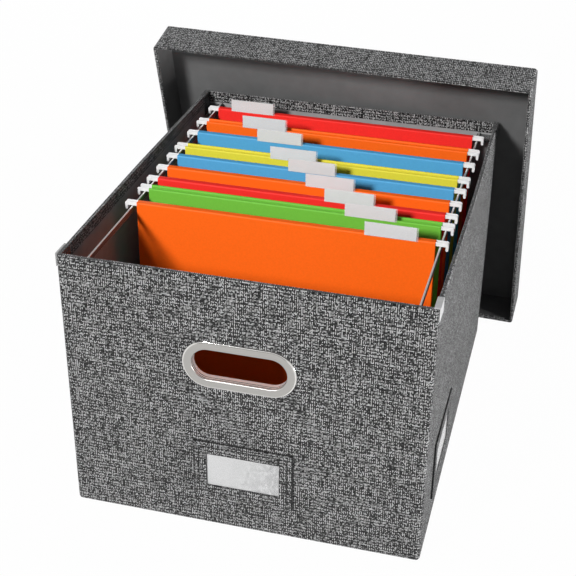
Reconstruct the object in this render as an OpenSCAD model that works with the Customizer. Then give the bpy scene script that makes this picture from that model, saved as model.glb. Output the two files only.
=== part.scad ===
// Portable file box: a fabric-covered, fold-flat box with a lift-off lid,
// two hanging rails in corner clips and nine hanging folders.
// Millimetres, +Z up. The origin is the middle of the box's underside.
// The front wall, with the handle and the label pocket, faces -Y.

/* [Box] */
// Outside width of the box, left to right
box_w = 345; // [300:1:420]
// Outside depth of the box, front to back
box_d = 423; // [405:1:560]
// Outside height of the box without the lid
box_h = 278; // [262:1:340]
// Outside radius of the upright corners
corner_r = 4; // [3.6:0.2:8]
// Thickness of the wall boards
board_t = 2.6; // [1.6:0.1:4]
// Thickness of the outer fabric
cover_t = 0.7; // [0.4:0.1:1.2]
// Thickness of the lining
lining_t = 0.5; // [0.3:0.1:0.7]
// Height of the fabric turned in over the rim
hem_h = 12.5; // [6:0.5:30]
// Gap between the two halves of a side wall, where it folds
crease_gap = 3; // [1:0.5:8]
// Thickness of the board under the floor
base_board_t = 2.6; // [1.6:0.1:4]
// Thickness of the loose floor board
insert_t = 3; // [2:0.5:6]
// Gap round the loose floor board
insert_clear = 1.5; // [0.5:0.5:4]

/* [Handles] */
// Distance of the hand hole's middle right of the wall's middle
handle_x = -2.6; // [-6:0.2:6]
// Width of the hand hole
handle_w = 90; // [70:1:120]
// Height of the hand hole
handle_h = 32; // [24:0.5:44]
// Width of the bezel's face round the hole
handle_flange = 9; // [6:0.5:14]
// Thickness of the bezel's face
handle_flange_t = 1.8; // [0.8:0.1:2.5]
// Thickness of the sleeve that lines the hole
handle_sleeve_t = 1; // [0.6:0.1:2]
// Thickness of the ring inside the wall
handle_ring_t = 1.2; // [0.8:0.1:2.5]
// Width of the ring inside the wall
handle_ring_w = 7; // [4:0.5:12]
// How far the sleeve stands past the ring
handle_curl = 2; // [0.4:0.1:3]
// Gap between the sleeve and the wall's hole
handle_clear = 0.3; // [0.1:0.1:1]
// Height of the hole's middle above the underside
handle_z = 187; // [150:1:205]

/* [Label pockets] */
// Width of a label pocket
label_w = 98; // [86:1:120]
// Height of a label pocket
label_h = 65; // [50:1:80]
// Width of the window
window_w = 71; // [50:1:76]
// Height of the window
window_h = 36; // [20:1:40]
// Thickness of the pocket's fabric
label_t = 0.9; // [0.6:0.1:1.6]
// Width of the sewn edge of a pocket
label_seam = 3.5; // [2:0.5:5]
// Thickness of the clear film
film_t = 0.25; // [0.15:0.05:0.4]
// Thickness of the card
card_t = 0.4; // [0.2:0.1:0.8]
// Gap round the card in its pocket
card_clear = 0.15; // [0.1:0.05:0.5]
// Overlap of the card and the film behind the window's edge
window_lap = 4; // [3:0.5:7]
// Height of a pocket's middle above the underside
label_z = 68; // [48:1:95]
// Distance of the side pocket's middle in front of the box's middle
side_label_y = 112; // [70:1:140]

/* [Rails and clips] */
// Distance from the wall's outside to the middle of its rail
rail_inset = 19.7; // [16:0.1:24]
// Thickness of a rail
rail_t = 1.8; // [1.5:0.1:4]
// Height of a rail
rail_h = 6; // [4:0.5:12]
// Depth of a rail's top edge below the box's rim
rail_drop = 12.5; // [9:0.5:24]
// Length of a clip along the wall
clip_len = 20; // [16:1:34]
// Thickness of a clip's walls
clip_t = 0.9; // [0.8:0.1:2]
// Distance of a clip from the wall's outside corner
clip_inset = 1.5; // [0.5:0.5:4]
// Height of a clip's outer leaf
clip_outer_h = 12.5; // [8:0.5:24]
// Depth of a clip's inner leaf below its cradle
clip_foot = 3; // [2:0.5:8]
// Length of a clip's cradle along the rail
cradle_len = 9; // [6:0.5:14]
// Thickness of the cradle round the rail
cradle_t = 1.8; // [1.2:0.1:3]
// How far a rail stands above its cradle
rail_show = 2; // [1:0.5:3]
// Gap between a rail and its cradle
rail_clear = 0.15; // [0.1:0.05:0.4]

/* [Folders] */
// Distance from the middle of a rail to the edge of the folders' card
folder_gap = 4.8; // [4:0.1:6]
// Height of a folder from its top edge to its fold
folder_h = 235; // [200:1:242]
// Thickness of the folder card
sheet_t = 0.8; // [0.5:0.1:1.2]
// Height of the folded sleeve that holds a bar
sleeve_h = 12; // [11:0.5:18]
// Thickness of a hanger bar
bar_t = 1.2; // [0.8:0.1:1.6]
// Height of a hanger bar
bar_h = 9; // [7:0.5:10]
// Gap between a bar and its sleeve
bar_clear = 0.1; // [0.05:0.05:0.3]
// How far a hook reaches past the edge of its folder's card
hook_reach = 12.5; // [11.5:0.1:14]
// Height of a hook's arm
hook_arm_h = 4; // [3:0.2:5]
// Distance of the full-height part of a bar inside the edge of its folder's card
bar_short = 3; // [1:0.5:8]
// Width of a hook's tip
hook_tip_w = 2.8; // [2:0.1:3.4]
// Depth of a hook's tip below the top of its arm
hook_drop = 8.6; // [6:0.2:12]
// Gap between a hook and the rail's top edge
hook_seat_gap = 0.3; // [0.1:0.1:0.5]
// Distance between the two bars of a closed folder
flaps_closed = 4.4; // [3.5:0.1:5.5]
// Distance between the two bars of an open folder
flaps_open = 8.4; // [7.6:0.1:9.5]
// Mean distance from one folder to the next
folder_pitch = 32; // [24:0.5:36]
// Distances from the back wall to the first folder, then from folder to folder, as shares of the mean
folder_steps = [0.85, 1.32, 1.0, 1.28, 0.78, 0.96, 0.88, 0.79, 1.04];
// Folders whose flaps stand open: 1 for open, 0 for closed, back to front
folder_opens = [0, 1, 0, 1, 0, 0, 0, 1, 0];
// Width of a tab
tab_w = 52; // [40:0.5:60]
// Height of a tab
tab_h = 14.5; // [10:0.5:16]
// Thickness of a tab
tab_t = 0.9; // [0.5:0.1:1.2]
// How far a tab reaches down over its folder
tab_drop = 1.4; // [1.2:0.2:6]
// Distance from a folder's edge to the nearest tab of the row, on either side
tab_margin = 16; // [4:0.2:30]

/* [Lid] */
// Height of the lid's skirt
lid_h = 43; // [30:1:70]
// Thickness of the lid's boards
lid_board_t = 1.8; // [1.4:0.1:3]
// Gap between the lid's skirt and the box's walls when it is on
lid_clear = 0.6; // [0.3:0.1:2]
// Height of the fabric turned in over the lid's rim
lid_hem_h = 4; // [2:0.5:12]
// How far the lid leans forward on the box, in degrees
lid_lean = 14.9; // [10:0.1:20]
// How far the lid is turned about the upright, in degrees
lid_turn = 2.3; // [0:0.1:4]
// How far the lid stands left of the box's middle
lid_shift = 3; // [0:1:10]
// Gap between the lid's lining and the box's rear edge
lean_gap = 0.5; // [0.3:0.1:2]

/* [Hidden] */
$fn = 64;
wall_t = cover_t + board_t + lining_t;
skin_in = cover_t + board_t;
hem_wall = skin_in + cover_t;
inner_w = box_w - 2 * wall_t;
inner_d = box_d - 2 * wall_t;
floor_z = cover_t + base_board_t;
board_top = box_h - cover_t;
board_h = board_top - floor_z;
hem_bottom = box_h - hem_h;
rail_top = box_h - rail_drop;
rail_x = box_w / 2 - rail_inset;
clip_in = box_w / 2 - hem_wall;
cradle_top = rail_top - rail_show;
cradle_bottom = rail_top - rail_h - rail_clear - cradle_t;
rail_len = box_d - 2 * hem_wall - 2 * rail_clear;
folder_top = rail_top + hook_seat_gap + hook_arm_h;
sleeve_t = bar_t + 2 * bar_clear + 2 * sheet_t;
folder_w = 2 * (rail_x - folder_gap);
hook_x = folder_w / 2 + hook_reach;
folder_count = len(folder_steps);
tab_step = (folder_w - 2 * tab_margin - tab_w) / (folder_count - 1);
lid_wall = cover_t + lid_board_t + lining_t;
lid_len = box_d + 2 * (lid_clear + lid_wall);
lid_wid = box_w + 2 * (lid_clear + lid_wall);
lid_in = lid_h - lid_wall;
lid_reach = (box_h - lid_in * sin(lid_lean)) / cos(lid_lean);
lid_y = box_d / 2 + lean_gap + (box_w / 2 + lid_shift) * tan(lid_turn)
    + (lid_reach * sin(lid_lean) - lid_in * cos(lid_lean)) / cos(lid_turn);
label_depth = label_t + film_t + card_t + 2 * card_clear;
card_w = window_w + 2 * window_lap;
card_h = window_h + 2 * window_lap;
// Gap between faces that only touch, and how far a cut runs past what it cuts
tiny = 0.01;
cut = 1;

fabric_grey = [0.46, 0.46, 0.45];
lining_grey = [0.55, 0.55, 0.54];
board_tan = [0.62, 0.53, 0.41];
folder_red = [0.94, 0.16, 0.14];
folder_orange = [1.0, 0.42, 0.12];
folder_blue = [0.31, 0.64, 0.85];
folder_yellow = [0.87, 0.83, 0.25];
folder_green = [0.43, 0.73, 0.25];
folder_colours = [
    folder_red, folder_orange, folder_blue, folder_yellow, folder_blue,
    folder_orange, folder_red, folder_green, folder_orange
];

// ---- shapes used by several pieces ----

// A rectangle with round corners, centred
module round_rect(w, d, r) {
    square([w - 2 * r, d], center = true);
    square([w, d - 2 * r], center = true);
    for (sx = [-1, 1], sy = [-1, 1])
        translate([sx * (w / 2 - r), sy * (d / 2 - r)]) circle(r);
}

// A slot shape with round ends, lying along X, centred
module slot(w, h) {
    square([w - h, h], center = true);
    for (s = [-1, 1]) translate([s * (w - h) / 2, 0]) circle(h / 2);
}

// A plate cut from a flat outline: drawn in X and Z, front face at y, t thick to the back
module upright(y, t) {
    translate([0, y + t, 0]) rotate([90, 0, 0]) linear_extrude(t) children();
}

// The hand hole through the front and back walls, grown by g all round
module hand_holes(g) {
    translate([handle_x, 0, handle_z])
        upright(-box_d, 2 * box_d) slot(handle_w + 2 * g, handle_h + 2 * g);
}

// ---- fabric and boards ----

// Everything inside the fabric of the walls
module inside_cover() {
    translate([0, 0, -tiny]) linear_extrude(board_top + tiny)
        round_rect(box_w - 2 * cover_t, box_d - 2 * cover_t, corner_r - cover_t);
}

// Outer fabric: four walls, the edge over the rim and the turned-in hem
module outer_cover() {
    color(fabric_grey)
    difference() {
        union() {
            difference() {
                translate([0, 0, cover_t]) linear_extrude(box_h - cover_t) round_rect(box_w, box_d, corner_r);
                inside_cover();
            }
            translate([0, 0, hem_bottom]) linear_extrude(hem_h)
                square([box_w - 2 * skin_in, box_d - 2 * skin_in], center = true);
        }
        linear_extrude(box_h + cut)
            square([box_w - 2 * hem_wall, box_d - 2 * hem_wall], center = true);
        hand_holes(handle_sleeve_t + handle_clear);
    }
}

// Fabric under the floor
module base_cover() {
    color(fabric_grey) linear_extrude(cover_t) round_rect(box_w, box_d, corner_r);
}

// Lining of the four walls, below the hem
module inner_lining() {
    color(lining_grey)
    difference() {
        translate([0, 0, floor_z]) linear_extrude(hem_bottom - floor_z) difference() {
            square([box_w - 2 * skin_in, box_d - 2 * skin_in], center = true);
            square([inner_w, inner_d], center = true);
        }
        hand_holes(handle_sleeve_t + handle_clear);
    }
}

// Board of the front (side = -1) or back (side = 1) wall
module end_board(side) {
    color(board_tan)
    intersection() {
        difference() {
            translate([0, side * (box_d / 2 - cover_t - board_t / 2), floor_z + board_h / 2])
                cube([box_w, board_t, board_h], center = true);
            hand_holes(handle_sleeve_t + handle_clear);
        }
        inside_cover();
    }
}

// Half of a side wall: side = -1 left or 1 right, half = -1 front or 1 rear
module side_board(side, half) {
    length = (box_d - 2 * skin_in - crease_gap) / 2;
    color(board_tan)
    intersection() {
        translate([
            side * (box_w / 2 - cover_t - board_t / 2),
            half * (crease_gap + length) / 2,
            floor_z + board_h / 2
        ]) cube([board_t, length, board_h], center = true);
        inside_cover();
    }
}

// Board under the floor
module base_board() {
    color(board_tan)
    translate([0, 0, cover_t]) linear_extrude(base_board_t)
        round_rect(box_w - 2 * cover_t, box_d - 2 * cover_t, corner_r - cover_t);
}

// Loose lined board that keeps the box open
module bottom_insert() {
    color(lining_grey)
    translate([0, 0, floor_z + insert_t / 2])
        cube([inner_w - 2 * insert_clear, inner_d - 2 * insert_clear, insert_t], center = true);
}

// ---- handles ----

// Bezel outside the wall with the sleeve through it
module handle_bezel(side) {
    back = wall_t + handle_ring_t + handle_curl;
    color([0.79, 0.78, 0.76])
    translate([handle_x, 0, handle_z]) scale_y(side) translate([0, -box_d / 2, 0]) difference() {
        union() {
            upright(-handle_flange_t, handle_flange_t)
                slot(handle_w + 2 * handle_flange, handle_h + 2 * handle_flange);
            upright(-handle_flange_t, handle_flange_t + back)
                slot(handle_w + 2 * handle_sleeve_t, handle_h + 2 * handle_sleeve_t);
        }
        upright(-handle_flange_t - cut, handle_flange_t + back + 2 * cut) slot(handle_w, handle_h);
    }
}

// Ring inside the wall that holds the bezel
module handle_ring(side) {
    color([0.72, 0.72, 0.70])
    translate([handle_x, 0, handle_z]) scale_y(side) translate([0, wall_t - box_d / 2, 0])
        upright(0, handle_ring_t) difference() {
            slot(handle_w + 2 * handle_ring_w, handle_h + 2 * handle_ring_w);
            slot(handle_w + 2 * handle_sleeve_t + 2 * tiny, handle_h + 2 * handle_sleeve_t + 2 * tiny);
        }
}

// Leaves a front piece where it is (side = -1) or mirrors it to the back (side = 1)
module scale_y(side) {
    if (side < 0) children();
    else mirror([0, 1, 0]) children();
}

// ---- label pockets, drawn on the front wall with their middle at the origin ----

// Fabric frame, sewn down on three sides and open at the top
module label_pocket() {
    color(fabric_grey)
    difference() {
        translate([-label_w / 2, -label_depth, -label_h / 2]) cube([label_w, label_depth, label_h]);
        translate([-label_w / 2 + label_seam, -label_depth + label_t, -card_h / 2 - card_clear])
            cube([label_w - 2 * label_seam, label_depth, label_h]);
        translate([-window_w / 2, -label_depth - cut, -window_h / 2])
            cube([window_w, label_t + 2 * cut, window_h]);
    }
}

// Clear film behind the window
module label_film() {
    color([0.9, 0.93, 0.95, 0.35])
    translate([-card_w / 2, -label_depth + label_t, -card_h / 2]) cube([card_w, film_t, card_h]);
}

// White card that slides out at the top
module label_card() {
    color([0.86, 0.86, 0.87])
    translate([-card_w / 2, -card_clear - card_t, -card_h / 2]) cube([card_w, card_t, card_h]);
}

module on_front() {
    translate([0, -box_d / 2, label_z]) children();
}

module on_side() {
    translate([box_w / 2, -side_label_y, label_z]) rotate([0, 0, 90]) children();
}

// ---- rails and clips ----

// Steel strip on edge; side = -1 left or 1 right
module rail(side) {
    color([0.80, 0.79, 0.77])
    translate([side * rail_x, 0, rail_top - rail_h / 2])
        cube([rail_t, rail_len, rail_h], center = true);
}

// Clip over a side wall, with a cradle for the rail's end.
// Drawn at the front right corner and mirrored to the others.
module clip(side_x, side_y) {
    slot_w = rail_t + 2 * rail_clear;
    cradle_out = rail_x - slot_w / 2 - cradle_t;
    leaf_bottom = cradle_bottom - clip_foot;
    outer_y = clip_inset - box_d / 2;
    inner_y = hem_wall - box_d / 2;
    inner_len = clip_len - (hem_wall - clip_inset);
    color([0.88, 0.88, 0.87])
    scale_x(side_x) scale_y(side_y) difference() {
        union() {
            // top strip over the rim
            translate([clip_in - clip_t, outer_y, box_h])
                cube([hem_wall + 2 * clip_t, clip_len, clip_t]);
            // outer leaf
            translate([box_w / 2, outer_y, box_h - clip_outer_h])
                cube([clip_t, clip_len, clip_outer_h + tiny]);
            // inner leaf
            translate([clip_in - clip_t, inner_y, leaf_bottom])
                cube([clip_t, inner_len, box_h - leaf_bottom + tiny]);
            // cradle that carries the rail's end
            translate([cradle_out, inner_y, cradle_bottom])
                cube([clip_in - clip_t / 2 - cradle_out, cradle_len, cradle_top - cradle_bottom]);
        }
        // groove for the rail, open at the top
        translate([rail_x - slot_w / 2, inner_y - cut, rail_top - rail_h - rail_clear])
            cube([slot_w, cradle_len + 2 * cut, rail_h + rail_drop]);
    }
}

// Leaves a right-hand piece where it is (side = 1) or mirrors it to the left (side = -1)
module scale_x(side) {
    if (side > 0) children();
    else mirror([1, 0, 0]) children();
}

// ---- folders ----

// Sum of the steps down to folder i
function step_sum(i) = i < 0 ? 0 : folder_pitch * folder_steps[i] + step_sum(i - 1);

// Place of folder i's front flap, counted from 0 at the back
function flap_y(i) = inner_d / 2 - step_sum(i);

// Distance from folder i's front bar to its back bar
function flap_gap(i) = folder_opens[i] > 0 ? flaps_open : flaps_closed;

// One folded sheet: two flaps, the fold between them and a sleeve at each top edge
module folder(i) {
    y = flap_y(i);
    gap = flap_gap(i);
    fold_z = folder_top - folder_h;
    color(folder_colours[i])
    difference() {
        union() {
            // the flaps' panels, flush with the outside of their sleeves
            for (f = [y - sleeve_t / 2, y + gap + sleeve_t / 2 - sheet_t])
                translate([-folder_w / 2, f, fold_z]) cube([folder_w, sheet_t, folder_h]);
            // the sleeves, folded over to the inside
            for (f = [y, y + gap])
                translate([-folder_w / 2, f - sleeve_t / 2, folder_top - sleeve_h])
                    cube([folder_w, sleeve_t, sleeve_h]);
            // the fold at the bottom
            translate([-folder_w / 2, y - sleeve_t / 2, fold_z]) cube([folder_w, gap + sleeve_t, sheet_t]);
        }
        for (f = [y, y + gap])
            translate([-folder_w, f - bar_t / 2 - bar_clear, folder_top - sheet_t - bar_h - 2 * bar_clear])
                cube([2 * folder_w, bar_t + 2 * bar_clear, bar_h + 2 * bar_clear]);
    }
}

// Outline of a hanger bar in X and Z, with the top of its arms at z = 0
module bar_outline() {
    arm_r = hook_arm_h / 2;
    tip_r = hook_tip_w / 2;
    half_w = folder_w / 2;
    body_top = -sheet_t - bar_clear;
    body_end = half_w - bar_short;
    translate([-body_end, body_top - bar_h]) square([2 * body_end, bar_h]);
    for (s = [0, 1]) mirror([s, 0]) {
        // the narrow part that leaves the sleeve, then the arm that rises to the top beside it
        translate([body_end - cut, -hook_arm_h])
            square([bar_short + 2 * cut, hook_arm_h + body_top]);
        translate([half_w + bar_clear, -hook_arm_h]) square([hook_x - arm_r - half_w - bar_clear, hook_arm_h]);
        translate([hook_x - arm_r, -arm_r]) circle(arm_r);
        translate([hook_x - hook_tip_w, tip_r - hook_drop]) square([hook_tip_w, hook_drop - tip_r - arm_r]);
        translate([hook_x - tip_r, tip_r - hook_drop]) circle(tip_r);
    }
}

// The two hanger bars of folder i
module folder_bars(i) {
    color([0.87, 0.87, 0.88])
    for (f = [flap_y(i), flap_y(i) + flap_gap(i)])
        translate([0, 0, folder_top]) upright(f - bar_t / 2, bar_t) bar_outline();
}

// The index tab of folder i, on the front flap
module folder_tab(i) {
    color([0.86, 0.86, 0.87])
    translate([
        tab_margin - folder_w / 2 + i * tab_step,
        flap_y(i) - sleeve_t / 2 - tab_t,
        folder_top - tab_drop
    ]) cube([tab_w, tab_t, tab_h]);
}

// ---- lid, drawn closed with its top face at z = 0 and its long side along X ----

// Puts the lid behind the box, leaning on the rear edge
module lid_place() {
    translate([-lid_shift, lid_y, 0]) rotate([0, 0, -lid_turn]) rotate([lid_lean, 0, 0])
        translate([0, lid_h, lid_wid / 2]) rotate([-90, 0, 0]) children();
}

// Everything inside the fabric of the lid
module inside_lid() {
    translate([0, 0, cover_t - lid_h]) linear_extrude(lid_h - 2 * cover_t)
        round_rect(lid_len - 2 * cover_t, lid_wid - 2 * cover_t, corner_r - cover_t);
}

// Outer fabric of the lid, turned in over its rim
module lid_cover() {
    skin = 2 * (lid_wall - lining_t);
    color(fabric_grey)
    lid_place() difference() {
        union() {
            difference() {
                translate([0, 0, -lid_h]) linear_extrude(lid_h) round_rect(lid_len, lid_wid, corner_r);
                inside_lid();
            }
            translate([0, 0, -lid_h]) linear_extrude(lid_hem_h)
                square([lid_len - skin, lid_wid - skin], center = true);
        }
        translate([0, 0, -lid_h - cut]) linear_extrude(lid_h)
            square([lid_len - 2 * lid_wall, lid_wid - 2 * lid_wall], center = true);
    }
}

// Board of the lid's top
module lid_top_board() {
    color(board_tan)
    lid_place() translate([0, 0, -cover_t - lid_board_t]) linear_extrude(lid_board_t)
        round_rect(lid_len - 2 * cover_t, lid_wid - 2 * cover_t, corner_r - cover_t);
}

// Four boards of the lid's skirt: two long ones with two short ones between them
module lid_skirt_boards() {
    height = lid_h - 2 * cover_t - lid_board_t;
    middle = cover_t + lid_board_t / 2;
    color(board_tan)
    lid_place() intersection() {
        translate([0, 0, cover_t - lid_h + height / 2]) for (s = [-1, 1]) {
            translate([0, s * (lid_wid / 2 - middle), 0])
                cube([lid_len, lid_board_t, height], center = true);
            translate([s * (lid_len / 2 - middle), 0, 0])
                cube([lid_board_t, lid_wid - 2 * cover_t - 2 * lid_board_t - 2 * tiny, height], center = true);
        }
        inside_lid();
    }
}

// Lining of the lid
module lid_lining() {
    top = cover_t + lid_board_t;
    color(lining_grey)
    lid_place() translate([0, 0, -lid_h + lid_hem_h]) difference() {
        linear_extrude(lid_h - lid_hem_h - top)
            square([lid_len - 2 * top, lid_wid - 2 * top], center = true);
        translate([0, 0, -cut]) linear_extrude(lid_h - lid_hem_h - lid_wall + cut)
            square([lid_len - 2 * lid_wall, lid_wid - 2 * lid_wall], center = true);
    }
}

outer_cover();
base_cover();
inner_lining();
end_board(-1);  // front_board
end_board(1);  // back_board
side_board(-1, -1);  // left_front_board
side_board(-1, 1);  // left_rear_board
side_board(1, -1);  // right_front_board
side_board(1, 1);  // right_rear_board
base_board();
bottom_insert();
handle_bezel(-1);  // front_handle_bezel
handle_ring(-1);  // front_handle_ring
handle_bezel(1);  // back_handle_bezel
handle_ring(1);  // back_handle_ring
on_front() label_pocket();  // front_label_pocket
on_front() label_film();  // front_label_film
on_front() label_card();  // front_label_card
on_side() label_pocket();  // side_label_pocket
on_side() label_film();  // side_label_film
on_side() label_card();  // side_label_card
rail(-1);  // left_rail
rail(1);  // right_rail
clip(-1, -1);  // clip_front_left
clip(1, -1);  // clip_front_right
clip(-1, 1);  // clip_back_left
clip(1, 1);  // clip_back_right
lid_cover();
lid_top_board();
lid_skirt_boards();
lid_lining();
for (i = [0 : folder_count - 1]) {
    folder(i);
    folder_bars(i);
    folder_tab(i);
}
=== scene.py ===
# A fabric-covered file box with hanging folders, its lid leaning behind it.
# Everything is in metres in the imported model's own frame: the box's underside is at z = 0,
# the front wall faces -Y and the box's middle is at x = y = 0.
import math

import bmesh
import bpy
from mathutils import Matrix, Vector


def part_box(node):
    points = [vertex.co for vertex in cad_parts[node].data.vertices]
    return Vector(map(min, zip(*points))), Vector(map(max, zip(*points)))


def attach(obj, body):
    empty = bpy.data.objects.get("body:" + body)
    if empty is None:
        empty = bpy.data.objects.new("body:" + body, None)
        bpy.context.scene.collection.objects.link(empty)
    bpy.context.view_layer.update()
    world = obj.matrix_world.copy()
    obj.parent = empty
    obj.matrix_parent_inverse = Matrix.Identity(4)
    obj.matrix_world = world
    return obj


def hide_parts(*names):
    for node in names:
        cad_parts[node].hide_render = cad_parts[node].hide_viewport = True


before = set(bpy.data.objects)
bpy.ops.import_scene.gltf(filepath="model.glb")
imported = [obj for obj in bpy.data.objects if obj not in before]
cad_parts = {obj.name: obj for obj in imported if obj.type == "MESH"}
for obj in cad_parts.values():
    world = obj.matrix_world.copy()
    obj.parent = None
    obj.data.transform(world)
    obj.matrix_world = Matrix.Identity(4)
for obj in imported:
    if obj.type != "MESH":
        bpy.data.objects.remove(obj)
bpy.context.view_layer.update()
scene = bpy.context.scene
scene.view_settings.view_transform = "Standard"
MM = 0.001

# ---------------------------------------------------------------------------------------------
# Camera: a studio shot from in front and a little to the right, looking down into the box.
# Its place and turn come from the box's own corners, at the box's real size.
# ---------------------------------------------------------------------------------------------
CAMERA_AT = Vector((0.2714, -1.0737, 0.8006))
CAMERA_AZIMUTH = math.radians(13.61)
CAMERA_ELEVATION = math.radians(29.46)
CAMERA_ROLL = math.radians(1.25)

forward = Vector((
    -math.sin(CAMERA_AZIMUTH) * math.cos(CAMERA_ELEVATION),
    math.cos(CAMERA_AZIMUTH) * math.cos(CAMERA_ELEVATION),
    -math.sin(CAMERA_ELEVATION),
))
level_right = Vector((math.cos(CAMERA_AZIMUTH), math.sin(CAMERA_AZIMUTH), 0))
level_up = level_right.cross(forward)
camera_right = math.cos(CAMERA_ROLL) * level_right + math.sin(CAMERA_ROLL) * level_up
camera_up = math.cos(CAMERA_ROLL) * level_up - math.sin(CAMERA_ROLL) * level_right

camera_data = bpy.data.cameras.new("camera")
camera_data.sensor_width = 36
camera_data.lens = 75.8
camera_data.shift_x = -0.0417
camera_data.shift_y = -0.0313
camera_data.clip_end = 20
camera = bpy.data.objects.new("camera", camera_data)
scene.collection.objects.link(camera)
camera.matrix_world = Matrix.Translation(CAMERA_AT) @ Matrix((
    camera_right, camera_up, -forward)).transposed().to_4x4()
scene.camera = camera

# ---------------------------------------------------------------------------------------------
# Studio: a white floor that runs out to a white surround, a key lamp in front at the left, a low
# lamp at the right that stays under the box's rim, a low one behind and a faint even sky.
# ---------------------------------------------------------------------------------------------
FLOOR_SIZE = 12
FLOOR_DROP = 0.5 * MM
SKY_GREY = (0.86, 0.88, 0.92)
SKY_STRENGTH = 0.23
FLOOR_GLOW = 0.985
FLOOR_GREY = 0.40
ROOF_STARTS = 0.42
ROOF_FADE = 0.12
SURROUND_GREY = 0.8
ROOF_GREY = 0.04


def material(name):
    """A new node material, its node tree and its surface shader."""
    made = bpy.data.materials.new(name)
    made.use_nodes = True
    return made, made.node_tree, made.node_tree.nodes["Principled BSDF"]


def seen_by_eye(tree):
    """1 for rays that show the studio: straight, mirrored or through clear film."""
    path = tree.nodes.new("ShaderNodeLightPath")
    last = path.outputs["Is Camera Ray"]
    for ray in ("Is Glossy Ray", "Is Transmission Ray"):
        either = tree.nodes.new("ShaderNodeMath")
        either.operation = "MAXIMUM"
        tree.links.new(last, either.inputs[0])
        tree.links.new(path.outputs[ray], either.inputs[1])
        last = either.outputs[0]
    return last


world = bpy.data.worlds.new("studio")
world.use_nodes = True
scene.world = world
tree = world.node_tree
sky = tree.nodes["Background"]
sky.inputs["Color"].default_value = (*SKY_GREY, 1)
sky.inputs["Strength"].default_value = SKY_STRENGTH
white_sky = tree.nodes.new("ShaderNodeBackground")
white_sky.inputs["Color"].default_value = (1, 1, 1, 1)
# in the metal, the white surround ends at a dark studio ceiling
way = tree.nodes.new("ShaderNodeTexCoord")
way_z = tree.nodes.new("ShaderNodeSeparateXYZ")
tree.links.new(way.outputs["Generated"], way_z.inputs[0])
above = tree.nodes.new("ShaderNodeMapRange")
above.inputs["From Min"].default_value = ROOF_STARTS
above.inputs["From Max"].default_value = ROOF_STARTS + ROOF_FADE
above.inputs["To Min"].default_value = SURROUND_GREY
above.inputs["To Max"].default_value = ROOF_GREY
tree.links.new(way_z.outputs["Z"], above.inputs["Value"])
roof = tree.nodes.new("ShaderNodeMix")
roof.inputs["A"].default_value = 1
mirrored = tree.nodes.new("ShaderNodeLightPath")
tree.links.new(mirrored.outputs["Is Glossy Ray"], roof.inputs["Factor"])
tree.links.new(above.outputs[0], roof.inputs["B"])
tree.links.new(roof.outputs["Result"], white_sky.inputs["Strength"])
sky_mix = tree.nodes.new("ShaderNodeMixShader")
tree.links.new(seen_by_eye(tree), sky_mix.inputs["Fac"])
tree.links.new(sky.outputs[0], sky_mix.inputs[1])
tree.links.new(white_sky.outputs[0], sky_mix.inputs[2])
tree.links.new(sky_mix.outputs[0], tree.nodes["World Output"].inputs["Surface"])

bm = bmesh.new()
bmesh.ops.create_grid(bm, x_segments=1, y_segments=1, size=FLOOR_SIZE / 2)
bmesh.ops.translate(bm, verts=bm.verts, vec=(0, 0, -FLOOR_DROP))
floor_mesh = bpy.data.meshes.new("floor")
bm.to_mesh(floor_mesh)
bm.free()
floor = bpy.data.objects.new("floor", floor_mesh)
scene.collection.objects.link(floor)
floor_paint, tree, shader = material("floor_paint")
shader.inputs["Base Color"].default_value = (FLOOR_GREY, FLOOR_GREY, FLOOR_GREY, 1)
shader.inputs["Roughness"].default_value = 0.9
glow = tree.nodes.new("ShaderNodeEmission")
floor_mix = tree.nodes.new("ShaderNodeMixShader")
share = tree.nodes.new("ShaderNodeMath")
share.operation = "MULTIPLY"
share.inputs[1].default_value = FLOOR_GLOW
tree.links.new(seen_by_eye(tree), share.inputs[0])
tree.links.new(share.outputs[0], floor_mix.inputs["Fac"])
tree.links.new(shader.outputs[0], floor_mix.inputs[1])
tree.links.new(glow.outputs[0], floor_mix.inputs[2])
tree.links.new(floor_mix.outputs[0], tree.nodes["Material Output"].inputs["Surface"])
floor.data.materials.append(floor_paint)


def soft_lamp(name, place, target, size, watts):
    """A square soft lamp that points at a target."""
    lamp = bpy.data.lights.new(name, "AREA")
    lamp.shape = "SQUARE"
    lamp.size = size
    lamp.energy = watts
    made = bpy.data.objects.new(name, lamp)
    scene.collection.objects.link(made)
    aim = (Vector(target) - Vector(place)).to_track_quat("-Z", "Y")
    made.matrix_world = Matrix.Translation(place) @ aim.to_matrix().to_4x4()


soft_lamp("key_lamp", (-1.46, -3.13, 2.18), (0, 0.03, 0.24), 0.65, 176)
soft_lamp("right_lamp", (1.7, -0.35, 0.15), (0.17, 0, 0.15), 0.26, 29)
soft_lamp("back_lamp", (-0.9, 2.1, 0.42), (0, 0.2, 0.15), 0.4, 22)

# ---------------------------------------------------------------------------------------------
# Boards: grey-brown card, seven in the box and five in the lid, with cloth and lining glued over
# them. Each side wall is two boards with a fold between them, and stands out a little there.
# ---------------------------------------------------------------------------------------------
WALL_BOW = 1.8 * MM
BOW_CURVE = 1.35
BOW_DEPTH = 8 * MM
BOW_STARTS = 4 * MM
SLICES_ALONG = 5
SLICES_UP = 4
SHARP_OVER = math.radians(30)
SMOOTH_UNDER = math.radians(35)
BOARD_BROWNS = ((0.35, (0.30, 0.24, 0.17)), (0.7, (0.42, 0.34, 0.25)))
SIDE_BOARDS = ("left_front_board", "left_rear_board", "right_front_board", "right_rear_board")

box_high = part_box("outer_cover")[1]
WALL_X = box_high.x
WALL_Y = box_high.y
RIM_Z = box_high.z


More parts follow.
